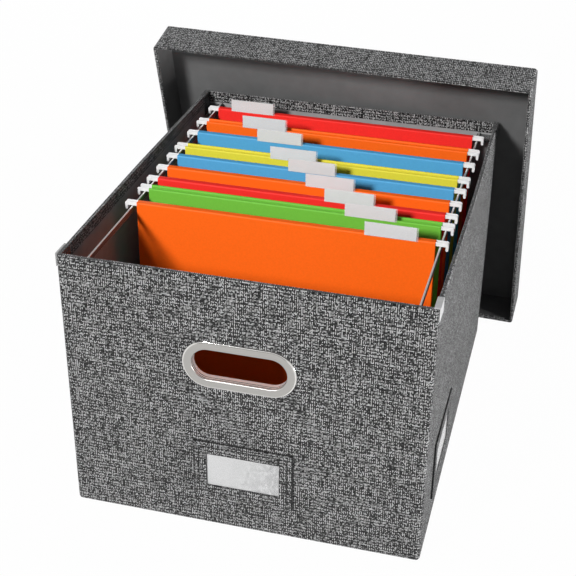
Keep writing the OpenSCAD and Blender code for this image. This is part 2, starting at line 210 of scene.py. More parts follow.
def node(tree, kind, **values):
    """A shader node with its settings; a name with spaces is a socket, written with underscores."""
    made = tree.nodes.new("ShaderNode" + kind)
    for key, value in values.items():
        if hasattr(made, key):
            setattr(made, key, value)
        else:
            made.inputs[key.replace("_", " ")].default_value = value
    return made


def wire(tree, *ends):
    """Joins sockets in pairs: from, to, from, to."""
    for source, target in zip(ends[::2], ends[1::2]):
        tree.links.new(source, target)


def ramp(tree, source, stops):
    """A colour ramp over a value; stops are (place, grey or colour)."""
    made = tree.nodes.new("ShaderNodeValToRGB")
    elements = made.color_ramp.elements
    while len(elements) < len(stops):
        elements.new(0.5)
    for element, (place, colour) in zip(elements, stops):
        element.position = place
        element.color = (colour,) * 3 + (1,) if isinstance(colour, (int, float)) else (*colour, 1)
    tree.links.new(source, made.inputs["Fac"])
    return made.outputs["Color"]


def noise(tree, place, scale, detail=2.0, roughness=0.5):
    """A noise value at a place."""
    made = node(tree, "TexNoise", Scale=scale, Detail=detail, Roughness=roughness)
    tree.links.new(place, made.inputs["Vector"])
    return made.outputs["Fac"]


def stretched(tree, scale):
    """The piece's own coordinates, scaled by axis."""
    place = node(tree, "TexCoord")
    spread = node(tree, "Mapping", Scale=scale)
    tree.links.new(place.outputs["Object"], spread.inputs["Vector"])
    return spread.outputs["Vector"]


def relief(tree, height, shader, strength, distance):
    """Bump from a height value into the shader's normal."""
    bump = node(tree, "Bump", Strength=strength, Distance=distance)
    wire(tree, height, bump.inputs["Height"], bump.outputs["Normal"], shader.inputs["Normal"])


def mottled(name, shades, scale, detail=2.0, grain=None, **sockets):
    """A finish that drifts between two shades. grain is a finer bump's scale, strength and depth."""
    made, tree, shader = material(name)
    place = node(tree, "TexCoord").outputs["Object"]
    wire(tree, ramp(tree, noise(tree, place, scale, detail), shades), shader.inputs["Base Color"])
    if grain:
        fine_scale, strength, depth = grain
        relief(tree, noise(tree, place, fine_scale), shader, strength, depth)
    for socket, value in sockets.items():
        shader.inputs[socket.replace("_", " ")].default_value = value
    return made


def solid_copy(name):
    """A bmesh copy of a CAD node with its flat faces whole, ready for edge work."""
    made = bmesh.new()
    made.from_mesh(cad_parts[name].data)
    bmesh.ops.remove_doubles(made, verts=made.verts, dist=1e-6)
    bmesh.ops.dissolve_limit(made, angle_limit=math.radians(1), verts=made.verts, edges=made.edges)
    return made


def everywhere(_middle, _direction):
    """Picks every edge."""
    return True


def round_edges(made, width, wanted=everywhere, segments=3):
    """Rounds the sharp edges that wanted(middle, direction) picks."""
    picked = []
    for edge in made.edges:
        if len(edge.link_faces) != 2 or edge.calc_face_angle(0) < SHARP_OVER:
            continue
        first, second = (v.co for v in edge.verts)
        if wanted((first + second) / 2, (second - first).normalized()):
            picked.append(edge)
    bmesh.ops.bevel(made, geom=picked, offset=width, offset_type="OFFSET", segments=segments,
                    profile=0.5, affect="EDGES", clamp_overlap=True, material=-1)


def slice_at(made, axis, places):
    """Cuts a mesh by planes square to an axis, without taking anything away."""
    for place in places:
        at = Vector((0, 0, 0))
        way = Vector((0, 0, 0))
        at[axis] = place
        way[axis] = 1
        geom = made.verts[:] + made.edges[:] + made.faces[:]
        bmesh.ops.bisect_plane(made, geom=geom, plane_co=at, plane_no=way, dist=1e-6)


def bow_sides(made):
    """Lets the side walls stand out at their folds, most at the rim and nothing at the corners."""
    slice_at(made, 1, [WALL_Y * step / SLICES_ALONG for step in range(1 - SLICES_ALONG, SLICES_ALONG)])
    slice_at(made, 2, [RIM_Z * step / SLICES_UP for step in range(1, SLICES_UP)])
    for vert in made.verts:
        if abs(vert.co.x) < WALL_X - BOW_DEPTH:
            continue
        along = max(0.0, 1 - abs(vert.co.y) / (WALL_Y - BOW_STARTS))
        soft = 1 - (1 - along) ** BOW_CURVE
        vert.co.x += math.copysign(WALL_BOW * soft * vert.co.z / RIM_Z, vert.co.x)


def piece(name, made, finish, body, replaced=()):
    """Turns a bmesh into a finished piece that rides on a body and may stand for CAD nodes."""
    bmesh.ops.recalc_face_normals(made, faces=made.faces)
    mesh = bpy.data.meshes.new(name)
    made.to_mesh(mesh)
    made.free()
    mesh.shade_smooth()
    mesh.set_sharp_from_angle(angle=SMOOTH_UNDER)
    for coat in finish if isinstance(finish, tuple) else (finish,):
        mesh.materials.append(coat)
    obj = bpy.data.objects.new(name, mesh)
    scene.collection.objects.link(obj)
    even = obj.modifiers.new("even_normals", "WEIGHTED_NORMAL")
    even.keep_sharp = True
    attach(obj, body)
    if replaced:
        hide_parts(*replaced)
    return obj


def finish_with(names, coat):
    """Gives CAD nodes a material."""
    for name in names:
        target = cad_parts[name]
        target.data.materials.clear()
        target.data.materials.append(coat)


board_card = mottled("board_card", BOARD_BROWNS, 900.0, 4.0, (2400.0, 0.2, 0.2 * MM), Roughness=0.85)
finish_with(["front_board", "back_board", "lid_top_board", "lid_skirt_boards"], board_card)
for name in SIDE_BOARDS:
    made = solid_copy(name)
    bow_sides(made)
    piece(name.replace("_board", "_card"), made, board_card, "box", [name])

# ---------------------------------------------------------------------------------------------
# Outer cloth of the box: a heathered linen-look cloth glued round the boards, wrapped over the
# rim and turned in. One sheet goes round the walls; another covers the underside.
# ---------------------------------------------------------------------------------------------
WARP_PITCH = 0.95 * MM
WEFT_PITCH = 1.15 * MM
WARP_RUN = 0.05
WEFT_RUN = 0.06
YARN_BEND = 0.4
YARN_APART = 7.31
RIM_EDGE = 3 * MM
RIM_ROUND = 1.5 * MM
HEM_ROUND = 0.8 * MM
# the fold line on top of the rim, darkened with painted shade
RIM_SEAM = 2.1 * MM
RIM_SEAM_WIDTH = 0.5 * MM
RIM_SEAM_SHADE = 0.85
CORNER_R = 4 * MM
BASE_ROUND = 3.8 * MM
CLOTH_T = 0.7 * MM
BASE_STEPS = 5
CLOSE = 0.05 * MM
RIM_FLAT = 0.1 * MM
CLOTH_GREYS = ((0.0, 0.001), (0.3, 0.008), (0.5, 0.068), (0.7, 0.27), (1.0, 0.68))


def group(name, inputs, outputs):
    """A shader node group with named sockets, its input node and its output node."""
    made = bpy.data.node_groups.new(name, "ShaderNodeTree")
    for socket, kind, value in inputs:
        item = made.interface.new_socket(socket, in_out="INPUT", socket_type=kind)
        if value is not None:
            item.default_value = value
    for socket, kind in outputs:
        made.interface.new_socket(socket, in_out="OUTPUT", socket_type=kind)
    return made, made.nodes.new("NodeGroupInput"), made.nodes.new("NodeGroupOutput")


def calc(tree, operation, a, b=None, c=None, clamp=False):
    """A maths node; each operand is a socket or a number."""
    made = tree.nodes.new("ShaderNodeMath")
    made.operation = operation
    made.use_clamp = clamp
    for socket, value in zip(made.inputs, (a, b, c)):
        if value is None:
            continue
        if isinstance(value, (int, float)):
            socket.default_value = value
        else:
            tree.links.new(value, socket)
    return made.outputs[0]


def vector(tree, x, y, z=0.0):
    """A vector made of three sockets or numbers."""
    made = tree.nodes.new("ShaderNodeCombineXYZ")
    for socket, value in zip(made.inputs, (x, y, z)):
        if isinstance(value, (int, float)):
            socket.default_value = value
        else:
            tree.links.new(value, socket)
    return made.outputs[0]


# Plain weave: each yarn has a tone of its own that drifts along it, each crossing is lighter or
# darker by chance, and the height falls off between yarns, where cloth() paints dark shade
weave, entry, leave = group(
    "linen_weave",
    [("Vector", "NodeSocketVector", None), ("Warp Pitch", "NodeSocketFloat", WARP_PITCH),
     ("Weft Pitch", "NodeSocketFloat", WEFT_PITCH), ("Streaks", "NodeSocketFloat", 0.9),
     ("Flecks", "NodeSocketFloat", 1.1), ("Ribs", "NodeSocketFloat", 0.38)],
    [("Shade", "NodeSocketFloat"), ("Height", "NodeSocketFloat")])
flat = weave.nodes.new("ShaderNodeSeparateXYZ")
weave.links.new(entry.outputs["Vector"], flat.inputs[0])
drift = node(weave, "TexNoise", Scale=30.0, Detail=2.0)
weave.links.new(entry.outputs["Vector"], drift.inputs["Vector"])
drift_xy = weave.nodes.new("ShaderNodeSeparateXYZ")
weave.links.new(drift.outputs["Color"], drift_xy.inputs[0])
across = []
for axis, pitch in ((0, "Warp Pitch"), (1, "Weft Pitch")):
    yarns = calc(weave, "DIVIDE", flat.outputs[axis], entry.outputs[pitch])
    bend = calc(weave, "MULTIPLY", drift_xy.outputs[axis], YARN_BEND)
    across.append(calc(weave, "ADD", yarns, bend))
counts = [calc(weave, "FLOOR", value) for value in across]
shades = []
for own, other, seed, run in ((0, 1, 3.7, WARP_RUN), (1, 0, 11.3, WEFT_RUN)):
    own_yarn = calc(weave, "MULTIPLY", counts[own], YARN_APART)
    along = calc(weave, "MULTIPLY", across[other], run)
    shades.append(noise(weave, vector(weave, own_yarn, along, seed), 1.0))
# painted shade: every second warp yarn and every third weft yarn is painted darker, as if deeper
deep_warp = calc(weave, "LESS_THAN", calc(weave, "FLOORED_MODULO", counts[0], 2.0), 0.5)
deep_weft = calc(weave, "LESS_THAN", calc(weave, "FLOORED_MODULO", counts[1], 3.0), 0.5)
ribs = calc(weave, "SUBTRACT", 5 / 6, calc(weave, "ADD", deep_warp, deep_weft))
rib_shade = calc(weave, "MULTIPLY", ribs, entry.outputs["Ribs"])
arches = []
for axis in (0, 1):
    inside = calc(weave, "SUBTRACT", across[axis], counts[axis])
    arches.append(calc(weave, "SINE", calc(weave, "MULTIPLY", inside, math.pi)))
crossing = weave.nodes.new("ShaderNodeTexWhiteNoise")
weave.links.new(vector(weave, *counts), crossing.inputs["Vector"])
chance = calc(weave, "SUBTRACT", crossing.outputs["Value"], 0.5)
fleck = calc(weave, "MULTIPLY", chance, entry.outputs["Flecks"])
streak = calc(weave, "SUBTRACT", calc(weave, "ADD", *shades), 1.0)
shade = calc(weave, "MULTIPLY_ADD", streak, entry.outputs["Streaks"], 0.5)
# the rib shade added here is painted shade
shade = calc(weave, "ADD", calc(weave, "ADD", shade, fleck), rib_shade)
height = calc(weave, "POWER", calc(weave, "MULTIPLY", arches[0], arches[1]), 0.8)
wire(weave, shade, leave.inputs["Shade"], height, leave.inputs["Height"])


def band(tree, distance, middle, half_width):
    """1 where a distance is near a middle value, falling off to 0 at 1.5 times half_width."""
    off = calc(tree, "ABSOLUTE", calc(tree, "SUBTRACT", distance, middle))
    return calc(tree, "SUBTRACT", 1.5, calc(tree, "DIVIDE", off, half_width), clamp=True)


def rim_fold_shade(tree):
    """Painted shade in the fold line on top of the rim, also sunk in the bump, read from the depth stored
    before the walls bow.
    """
    depth = node(tree, "Attribute", attribute_name="rim_depth")
    line = band(tree, depth.outputs["Fac"], RIM_SEAM, RIM_SEAM_WIDTH)
    return calc(tree, "MULTIPLY", line, RIM_SEAM_SHADE)


def cloth(name, seam=None):
    """Heathered cloth on the piece's own UV map, in metres, painted darker at yarn edges as shade. seam
    makes a mask of pressed lines, sunk in the bump and painted darker as shade.
    """
    made, tree, shader = material(name)
    uv = node(tree, "UVMap", uv_map="cloth")
    yarn = tree.nodes.new("ShaderNodeGroup")
    yarn.node_tree = weave
    tree.links.new(uv.outputs["UV"], yarn.inputs["Vector"])
    shade = ramp(tree, yarn.outputs["Shade"], CLOTH_GREYS)
    # painted shade: the colour darkens towards each yarn's edges, and more along the pressed lines
    yarn_and_seam_shade = calc(tree, "MULTIPLY_ADD", yarn.outputs["Height"], 0.8, 0.2, clamp=True)
    height = yarn.outputs["Height"]
    if seam:
        pressed_and_shaded = seam(tree)
        yarn_and_seam_shade = calc(tree, "MULTIPLY", yarn_and_seam_shade, calc(tree, "SUBTRACT", 1.0, pressed_and_shaded))
        height = calc(tree, "MULTIPLY_ADD", pressed_and_shaded, -1.5, height)
    dark = node(tree, "Mix", data_type="RGBA", blend_type="MULTIPLY")
    dark.inputs["Factor"].default_value = 1.0
    wire(tree, shade, dark.inputs["A"], yarn_and_seam_shade, dark.inputs["B"])
    wire(tree, dark.outputs["Result"], shader.inputs["Base Color"])
    relief(tree, height, shader, 0.5, 0.6 * MM)
    shader.inputs["Roughness"].default_value = 0.9
    shader.inputs["Specular IOR Level"].default_value = 0.15
    shader.inputs["Sheen Weight"].default_value = 0.2
    shader.inputs["Sheen Roughness"].default_value = 0.5
    return made


def cloth_uv(made, turn=Matrix.Identity(3), reach_x=WALL_X, reach_y=WALL_Y):
    """A UV map in metres that runs on round the upright corners. turn stands the piece upright."""
    layer = made.loops.layers.uv.new("cloth")
    for face in made.faces:
        way = turn @ face.normal
        side = max(range(3), key=lambda k: abs(way[k]))
        for loop in face.loops:
            x, y, z = turn @ loop.vert.co
            if side == 2:
                spot = (x, y)
            elif side == 1:
                spot = (x, z) if way.y < 0 else (2 * reach_x + 2 * reach_y - x, z)
            else:
                spot = (math.copysign(reach_x + reach_y + y, way.x), z)
            loop[layer].uv = spot


def store_rim_depth(made, depth_of):
    """Keeps each rim point's distance from the outside, and gives rim faces the rim's own cloth."""
    layer = made.verts.layers.float.new("rim_depth")
    for vert in made.verts:
        vert[layer] = depth_of(vert.co)
    for face in made.faces:
        if all(vert[layer] > 0 for vert in face.verts):
            face.material_index = 1


def box_rim_depth(co):
    """A rim point's distance in from the walls' outside, or 0 off the rim."""
    return min(WALL_X - abs(co.x), WALL_Y - abs(co.y)) if co.z > RIM_Z - RIM_FLAT else 0


def on_rim_outside(middle, _direction):
    """Picks the rim's outer edge."""
    outer = WALL_X - abs(middle.x) < RIM_EDGE or WALL_Y - abs(middle.y) < RIM_EDGE
    return middle.z > RIM_Z - CLOSE and outer


def on_rim_inside(middle, direction):
    """Picks the rim's inner edge."""
    return middle.z > RIM_Z - CLOSE and not on_rim_outside(middle, direction)


linen = cloth("linen_cloth")
rim_linen = cloth("linen_cloth_on_rim", rim_fold_shade)


def from_outline(place, inset):
    """The place straight across the wall from here, at an inset from the box's outline."""
    core = Vector((
        max(CORNER_R - WALL_X, min(WALL_X - CORNER_R, place.x)),
        max(CORNER_R - WALL_Y, min(WALL_Y - CORNER_R, place.y)),
    ))
    out = (place.xy - core).normalized()
    return core + out * (CORNER_R - inset)


def round_base(made):
    """Carries the two edges of the walls' cloth, cut at the rounding's height, round to the floor."""
    geom = made.verts[:] + made.edges[:] + made.faces[:]
    bmesh.ops.bisect_plane(made, geom=geom, plane_co=(0, 0, BASE_ROUND), plane_no=(0, 0, 1),
                           clear_inner=True)
    open_edges = [edge for edge in made.edges if edge.is_boundary]
    outside = set()
    for vert in {vert for edge in open_edges for vert in edge.verts}:
        if (vert.co.xy - from_outline(vert.co, 0)).length < CLOTH_T / 2:
            outside.add(vert)
    for step in range(1, BASE_STEPS + 1):
        angle = math.pi / 2 * step / BASE_STEPS
        drawn = bmesh.ops.extrude_edge_only(made, edges=open_edges)["geom"]
        open_edges = [item for item in drawn if isinstance(item, bmesh.types.BMEdge)]
        fresh = [item for item in drawn if isinstance(item, bmesh.types.BMVert)]
        was_outside = outside
        outside = set()
        for vert in fresh:
            if any(edge.other_vert(vert) in was_outside for edge in vert.link_edges):
                outside.add(vert)
        for vert in fresh:
            start = 0 if vert in outside else CLOTH_T
            radius = BASE_ROUND - start
            vert.co.xy = from_outline(vert.co, start + radius * (1 - math.cos(angle)))
            vert.co.z = BASE_ROUND - radius * math.sin(angle)
    bmesh.ops.bridge_loops(made, edges=open_edges)


made = solid_copy("outer_cover")
round_edges(made, RIM_ROUND, on_rim_outside)
round_edges(made, HEM_ROUND, on_rim_inside)
store_rim_depth(made, box_rim_depth)
round_base(made)
cloth_uv(made)
bow_sides(made)
piece("box_cloth", made, (linen, rim_linen), "box", ["outer_cover"])

made = solid_copy("base_cover")
for vert in made.verts:
    vert.co.xy = from_outline(vert.co, BASE_ROUND)
cloth_uv(made)
piece("base_cloth", made, linen, "box", ["base_cover"])
made = solid_copy("base_board")
round_edges(made, BASE_ROUND - CLOTH_T, lambda middle, _: middle.z < CLOTH_T + CLOSE, BASE_STEPS)
piece("base_card", made, board_card, "box", ["base_board"])

# ---------------------------------------------------------------------------------------------
# Linings and floor board: plain grey cloth-backed paper, matt, with a fine pressed grain.
# ---------------------------------------------------------------------------------------------
BOX_LINING_GREYS = ((0.3, 0.26), (0.75, 0.31))
# painted shade: the lid's lining is a darker copy of the box's lining paper
LID_LINING_SHADED_GREYS = ((0.3, 0.112), (0.75, 0.13))
FLOOR_BOARD_ROUND = 0.8 * MM


def lining_paper(name, greys):
    """Matt paper with cloudy shades and a fine grain."""
    return mottled(name, greys, 60.0, 3.0, (1400.0, 0.15, 0.4 * MM),
                   Roughness=0.8, Specular_IOR_Level=0.15)


lining = lining_paper("box_lining_paper", BOX_LINING_GREYS)
# the lid's lining takes the darker copy, painted shade
finish_with(["lid_lining"], lining_paper("shaded_lid_lining_paper", LID_LINING_SHADED_GREYS))
made = solid_copy("inner_lining")
bow_sides(made)
piece("wall_lining", made, lining, "box", ["inner_lining"])
made = solid_copy("bottom_insert")
round_edges(made, FLOOR_BOARD_ROUND)
piece("floor_board", made, lining, "box", ["bottom_insert"])

# ---------------------------------------------------------------------------------------------
# Handles: a bezel with a satin metal finish and a polished rolled edge on the outside of each end
# wall. Its grooved barrel goes through the hand hole, and a ring on the inside holds it; the
# barrel's grooves are coloured near black as painted shade.
# ---------------------------------------------------------------------------------------------
SATIN = (0.45, 0.44, 0.42, 1)
POLISHED = (0.78, 0.77, 0.75, 1)
GROOVE_SHADE_COLOUR = (0.05, 0.048, 0.045, 1)
BARREL = (0.66, 0.63, 0.61, 1)
BEZEL_WIDTH = 9 * MM
BEZEL_WALL = 1 * MM
BEZEL_BEAD = 1.5 * MM
BEZEL_CREASE = 0.2 * MM
BARREL_GROOVE = 0.45 * MM
GROOVES_AT = (-2.6 * MM, -0.4 * MM)
RING_CLEAR = 0.02 * MM
RING_EDGE = 0.5 * MM
END_STEPS = 28


def metal(name, colour, roughness, spread, metallic=1.0):
    """Metal with fine brush marks that vary how sharply it shines."""
    made, tree, shader = material(name)
    marks = noise(tree, stretched(tree, (220.0, 220.0, 2600.0)), 1.0, 3.0)
    shader.inputs["Base Color"].default_value = colour
    shader.inputs["Metallic"].default_value = metallic
    shine = calc(tree, "MULTIPLY_ADD", marks, spread, roughness - spread / 2)
    tree.links.new(shine, shader.inputs["Roughness"])
    relief(tree, marks, shader, 0.03, 0.1 * MM)
    return made


satin_metal = metal("satin_metal", SATIN, 0.36, 0.12)
polished_metal = metal("polished_metal", POLISHED, 0.09, 0.04)
# painted shade: a near-black metal for the barrel's grooves
shaded_groove_metal = metal("shaded_groove_metal", GROOVE_SHADE_COLOUR, 0.5, 0.1)
barrel_metal = metal("barrel_metal", BARREL, 0.42, 0.1, 0.35)


def arc(centre_r, centre_t, radius, start, end, steps=5):
    """Points of a profile along an arc, in degrees from the outward radius."""
    turns = [math.radians(start + (end - start) * step / steps) for step in range(steps + 1)]
    return [(centre_r + radius * math.cos(a), centre_t + radius * math.sin(a)) for a in turns]


def barrel_groove(r, t):
    """A groove round the barrel at depth t."""
    w = BARREL_GROOVE
    return [(r, t - w), (r + w, t - w / 2), (r + w, t + w / 2), (r, t + w)]


def sweep_slot(profile, middle, half_straight, wall_y, side):
    """Carries a closed profile of (radius, outward depth) round a slot with round ends."""
    made = bmesh.new()
    right = Vector((middle.x + half_straight, 0, middle.z))
    left = Vector((middle.x - half_straight, 0, middle.z))
    ring = [made.verts.new((right.x, side * (wall_y + t), middle.z + r)) for r, t in profile]
    first = [made.edges.new((ring[k - 1], ring[k])) for k in range(len(ring))]
    turned = bmesh.ops.spin(made, geom=ring + first, cent=right, axis=(0, 1, 0), angle=math.pi,
                            steps=END_STEPS, use_duplicate=False)
    edges = [e for e in turned["geom_last"] if isinstance(e, bmesh.types.BMEdge)]
    drawn = bmesh.ops.extrude_edge_only(made, edges=edges)["geom"]
    moved = [v for v in drawn if isinstance(v, bmesh.types.BMVert)]
    bmesh.ops.translate(made, verts=moved, vec=left - right)
    loop = [g for g in drawn if isinstance(g, (bmesh.types.BMVert, bmesh.types.BMEdge))]
    turned = bmesh.ops.spin(made, geom=loop, cent=left, axis=(0, 1, 0), angle=math.pi,
                            steps=END_STEPS, use_duplicate=False)
    edges = [e for e in turned["geom_last"] if isinstance(e, bmesh.types.BMEdge)]
    bmesh.ops.bridge_loops(made, edges=edges + first)
    return made


for end, side in (("front", -1), ("back", 1)):
    low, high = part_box(f"{end}_handle_bezel")
    middle = (low + high) / 2
    outer_r = (high.z - low.z) / 2
    half_straight = (high.x - low.x) / 2 - outer_r
    face_t = max(abs(low.y), abs(high.y)) - WALL_Y
    back_t = min(abs(low.y), abs(high.y)) - WALL_Y
    hole_r = outer_r - BEZEL_WIDTH
    barrel_r = hole_r + BEZEL_WALL
    profile = [(hole_r, back_t)]
    for groove_t in GROOVES_AT:
        profile += barrel_groove(hole_r, groove_t)
    profile += arc(barrel_r, face_t - BEZEL_WALL, BEZEL_WALL, 180, 90)
    bead_r = outer_r - BEZEL_BEAD
    profile += [(bead_r - BEZEL_CREASE, face_t), (bead_r, face_t - BEZEL_CREASE)]
    profile += arc(bead_r, face_t - BEZEL_BEAD, BEZEL_BEAD, 76, 0, 8)
    profile += [(outer_r, 0), (barrel_r, 0), (barrel_r, back_t)]
    made = sweep_slot(profile, middle, half_straight, WALL_Y, side)
    for face in made.faces:
        at = face.calc_center_median() - middle
        at.x -= max(-half_straight, min(half_straight, at.x))
        r = math.hypot(at.x, at.z)
        t = abs(face.calc_center_median().y) - WALL_Y
        in_groove = r > hole_r + BARREL_GROOVE / 4
        if r > bead_r - BEZEL_CREASE and t > CLOSE:
            face.material_index = 1
        # painted shade: faces in the barrel's grooves take the near-black metal
        elif r < barrel_r - CLOSE and t < face_t - BEZEL_WALL:
            face.material_index = 2 if in_groove else 3
    piece(f"{end}_bezel", made, (satin_metal, polished_metal, shaded_groove_metal, barrel_metal), "box",
          [f"{end}_handle_bezel"])

    low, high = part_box(f"{end}_handle_ring")
    near_t = max(abs(low.y), abs(high.y)) - WALL_Y
    far_t = min(abs(low.y), abs(high.y)) - WALL_Y
    ring_r = (high.z - low.z) / 2
    inner_r = barrel_r + RING_CLEAR
    profile = [(inner_r, far_t), (inner_r, near_t), (ring_r, near_t)]
    profile += arc(ring_r - RING_EDGE, far_t + RING_EDGE, RING_EDGE, 0, -90)
    made = sweep_slot(profile, (low + high) / 2, half_straight, WALL_Y, side)
    piece(f"{end}_ring", made, satin_metal, "box", [f"{end}_handle_ring"])

# ---------------------------------------------------------------------------------------------
# Label pockets: a cloth frame sewn down on three sides, a clear film behind its window and a
# white card that slides out at the top.
# ---------------------------------------------------------------------------------------------
POCKET_ROUND = 0.4 * MM
SEAM_INSET = 2.6 * MM
SEAM_END = 1 * MM
# painted shade on the pocket: a painted shadow along its edge, painted shade in the line beside its hem and
# a painted shadow at the window's edge
EDGE_SHADE = 1.6 * MM
EDGE_SHADOW = 0.95
GROOVE_INSET = 5.9 * MM
GROOVE_WIDTH = 0.55 * MM
GROOVE_LINE_SHADE = 0.85
LIP_WIDTH = 0.5 * MM
LIP_SHADOW = 0.6
WINDOW_W = 71 * MM
WINDOW_H = 36 * MM
STITCH_STEP = 3.6 * MM
STITCH_LENGTH = 2.7 * MM
STITCH_R = 0.28 * MM
STITCH_PROUD = 0.05 * MM
# the film's painted sheen: how fast it grows to the right and its strength at the middle
SHEEN_PER_METRE = 16.0
SHEEN_AT_MIDDLE = 0.25

thread = mottled("grey_thread", ((0.3, 0.06), (0.7, 0.14)), 3000.0, Roughness=0.8)


def white_card(name, grey):
    """Smooth card with faint fibres."""
    return mottled(name, ((0.3, grey - 0.02), (0.7, grey + 0.02)), 700.0, 4.0, Roughness=0.6)


finish_with(["front_label_card", "side_label_card"], white_card("label_card", 0.545))

pocket_low, pocket_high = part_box("front_label_pocket")
POCKET_W = pocket_high.x - pocket_low.x
POCKET_H = pocket_high.z - pocket_low.z


def pocket_shade_lines(tree):
    """Painted shade on the pocket, also sunk in the bump: a shadow along its edge, shade in the line beside
    its hem and a shadow at the window's edge.
    """
    uv = node(tree, "UVMap", uv_map="pocket")
    spread = tree.nodes.new("ShaderNodeSeparateXYZ")
    tree.links.new(uv.outputs["UV"], spread.inputs[0])
    u = calc(tree, "ABSOLUTE", spread.outputs["X"])
    v = calc(tree, "ABSOLUTE", spread.outputs["Y"])
    from_side = calc(tree, "SUBTRACT", POCKET_W / 2, u)
    from_end = calc(tree, "SUBTRACT", POCKET_H / 2, v)
    inside = calc(tree, "MINIMUM", from_side, from_end)
    past_side = calc(tree, "SUBTRACT", u, WINDOW_W / 2)
    past_end = calc(tree, "SUBTRACT", v, WINDOW_H / 2)
    window = calc(tree, "MAXIMUM", past_side, past_end)
    edge = calc(tree, "MULTIPLY", band(tree, inside, 0.0, EDGE_SHADE / 1.5), EDGE_SHADOW)
    line = calc(tree, "MULTIPLY", band(tree, inside, GROOVE_INSET, GROOVE_WIDTH), GROOVE_LINE_SHADE)
    lip = calc(tree, "MULTIPLY", band(tree, window, 0.0, LIP_WIDTH), LIP_SHADOW)
    return calc(tree, "MAXIMUM", calc(tree, "MAXIMUM", edge, line), lip)


pocket_linen = cloth("pocket_linen", pocket_shade_lines)


def pocket_uv(made, axis, middle):
    """A UV map in metres from the pocket's middle, for its pressed lines and their painted shade."""
    layer = made.loops.layers.uv.new("pocket")
    for face in made.faces:
        for loop in face.loops:
            loop[layer].uv = (loop.vert.co[axis] - middle[axis], loop.vert.co.z - middle.z)


def stitch(made, at, along):
    """One stitch: a short round-ended thread lying along a direction."""
    turn = along.to_track_quat("Z", "Y").to_matrix().to_4x4()
    bmesh.ops.create_icosphere(
        made, subdivisions=1, radius=STITCH_R,
        matrix=Matrix.Translation(at) @ turn @ Matrix.Diagonal((1, 1, STITCH_LENGTH / 2 / STITCH_R, 1)))


for wall in ("front", "side"):
    low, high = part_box(f"{wall}_label_pocket")
    made = solid_copy(f"{wall}_label_pocket")
    out_axis, run_axis = (1, 0) if wall == "front" else (0, 1)
    out_way = -1 if wall == "front" else 1
    face_at = low.y if wall == "front" else high.x
    round_edges(made, POCKET_ROUND, segments=2)
    cloth_uv(made)
    pocket_uv(made, run_axis, (low + high) / 2)
    piece(f"{wall}_pocket", made, pocket_linen, "box", [f"{wall}_label_pocket"])

    # the seam runs down one side, along the bottom and up the other
    made = bmesh.new()
    left = low[run_axis] + SEAM_INSET
    right = high[run_axis] - SEAM_INSET
    bottom = low.z + SEAM_INSET
    top = high.z - SEAM_END
    turns = [(left, top), (left, bottom), (right, bottom), (right, top)]
    for (run_a, z_a), (run_b, z_b) in zip(turns, turns[1:]):
        length = abs(run_b - run_a) + abs(z_b - z_a)
        count = int(length / STITCH_STEP)
        for step in range(count):
            share_along = (step + 0.5) / count
            at = Vector((0, 0, z_a + (z_b - z_a) * share_along))
            at[run_axis] = run_a + (run_b - run_a) * share_along
            at[out_axis] = face_at + out_way * STITCH_PROUD
            way = Vector((0, 0, z_b - z_a))
            way[run_axis] = run_b - run_a
            stitch(made, at, way.normalized())
    piece(f"{wall}_pocket_stitches", made, thread, "box")

film, tree, shader = material("clear_film")
place = node(tree, "TexCoord")
crinkle = noise(tree, stretched(tree, (260.0, 260.0, 170.0)), 1.0, 4.0, 0.65)
spread = node(tree, "SeparateXYZ")
wire(tree, place.outputs["Object"], spread.inputs[0])
# painted sheen: the film is clear at the left of the front window and painted whitish over its right
# and the side window, lighter and darker with its crinkle, standing in for its shine
painted_sheen = calc(tree, "MULTIPLY_ADD", spread.outputs["X"], SHEEN_PER_METRE, SHEEN_AT_MIDDLE, clamp=True)
crinkled_sheen = calc(tree, "MULTIPLY", painted_sheen, calc(tree, "MULTIPLY_ADD", crinkle, 1.3, -0.15))
wire(tree, calc(tree, "MULTIPLY_ADD", crinkled_sheen, 0.6, 0.05, clamp=True), shader.inputs["Alpha"])
wire(tree, ramp(tree, crinkle, [(0.35, 0.42), (0.65, 0.88)]), shader.inputs["Base Color"])
relief(tree, crinkle, shader, 0.25, 0.3 * MM)
shader.inputs["Roughness"].default_value = 0.25
shader.inputs["Specular IOR Level"].default_value = 0.2
finish_with(["front_label_film", "side_label_film"], film)

# ---------------------------------------------------------------------------------------------
# Rails: two steel strips on edge, each held at its ends by the cradles of two clips. They are
# bright steel on top, and their sides get a dark copy of it as painted shade.
# ---------------------------------------------------------------------------------------------
RAIL_ROUND = 0.4 * MM
RAIL_EDGE_GREYS = ((0.3, (0.70, 0.69, 0.68)), (0.7, (0.82, 0.81, 0.80)))
RAIL_SHADED_SIDE_GREYS = ((0.3, 0.09), (0.7, 0.14))


def steel(name, greys, metallic, roughness, spread):
    """Steel with fine marks along the strip, which vary how sharply it shines."""
    made, tree, shader = material(name)
    marks = noise(tree, stretched(tree, (2600.0, 40.0, 2600.0)), 1.0, 3.0)
    wire(tree, ramp(tree, marks, greys), shader.inputs["Base Color"])
    shader.inputs["Metallic"].default_value = metallic
    wire(tree, calc(tree, "MULTIPLY_ADD", marks, spread, roughness), shader.inputs["Roughness"])
    return made


bright_steel = steel("bright_steel", RAIL_EDGE_GREYS, 0.6, 0.22, 0.16)
shaded_side_steel = steel("shaded_side_steel", RAIL_SHADED_SIDE_GREYS, 0.5, 0.6, 0.0)
for side in ("left", "right"):
    made = solid_copy(f"{side}_rail")
    round_edges(made, RAIL_ROUND, segments=2)
    for face in made.faces:
        # painted shade: the side faces take the dark copy of the steel
        face.material_index = 1 if abs(face.normal.x) > 0.95 else 0
    piece(f"{side}_rail_bar", made, (bright_steel, shaded_side_steel), "box", [f"{side}_rail"])

